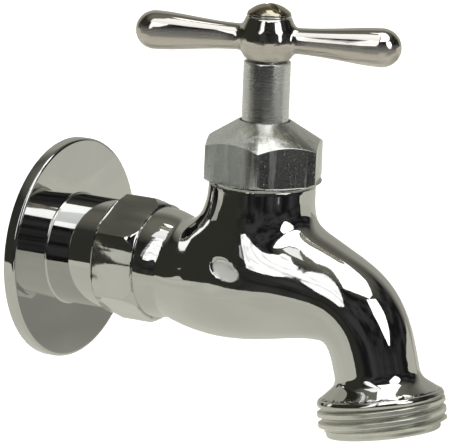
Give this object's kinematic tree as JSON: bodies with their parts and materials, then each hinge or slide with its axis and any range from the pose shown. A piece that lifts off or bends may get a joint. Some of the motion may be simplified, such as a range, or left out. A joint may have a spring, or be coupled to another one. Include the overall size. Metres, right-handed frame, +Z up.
{
  "type": "hose bib",
  "caption": "Wall-mounted outdoor tap with a compression valve, a tee handle, a threaded inlet behind a round wall flange and a curved spout with a garden-hose thread.",
  "frame": {"origin": "where the inlet axis meets the wall, on the plane of the wall flange's rim", "axes": "+X runs out of the wall along the inlet axis towards the spout, +Z is up along the stem, +Y completes a right-handed frame"},
  "size_m": [0.0935, 0.0468, 0.0884],
  "materials": {
    "body_chrome": "polished chrome plate",
    "flange_chrome": "polished chrome plate",
    "nut_plate": "satin plate with fine machining marks",
    "bonnet_brass": "turned, unplated",
    "gasket_fibre": "matt vulcanised fibre",
    "o_ring_rubber": "satin nitrile rubber",
    "seat_brass": "turned, unplated",
    "holder_brass": "turned, unplated",
    "washer_rubber": "matt rubber",
    "screw_brass": "turned, unplated",
    "stem_plate": "satin plate with turning marks",
    "handle_chrome": "polished chrome plate, a little warm",
    "handle_washer_plate": "bright plate",
    "handle_screw_plate": "bright plate, worn slot"
  },
  "bodies": {
    "body": {"valve_body": "body_chrome", "wall_flange": "flange_chrome", "cap_nut": "nut_plate", "bonnet": "bonnet_brass", "bonnet_gasket": "gasket_fibre", "o_ring_lower": "o_ring_rubber", "o_ring_upper": "o_ring_rubber", "valve_seat": "seat_brass"},
    "disc": {"disc_holder": "holder_brass", "seat_washer": "washer_rubber", "washer_screw": "screw_brass"},
    "spindle": {"stem": "stem_plate", "tee_handle": "handle_chrome", "handle_washer": "handle_washer_plate", "handle_screw": "handle_screw_plate"}
  },
  "joints": [
    {"name": "disc_lift", "type": "slide", "parent": "body", "child": "disc", "axis": [0, 0, 1], "range_m": [0, 0.0045]},
    {"name": "stem_turn", "type": "hinge", "parent": "disc", "child": "spindle", "pos_m": [0.0488, 0, 0.03], "axis": [0, 0, 1], "range_deg": [0, 810.01]}
  ],
  "couplings": [
    {"joint": "stem_turn", "follows": "disc_lift", "rad_per_m": 3141.6}
  ]
}
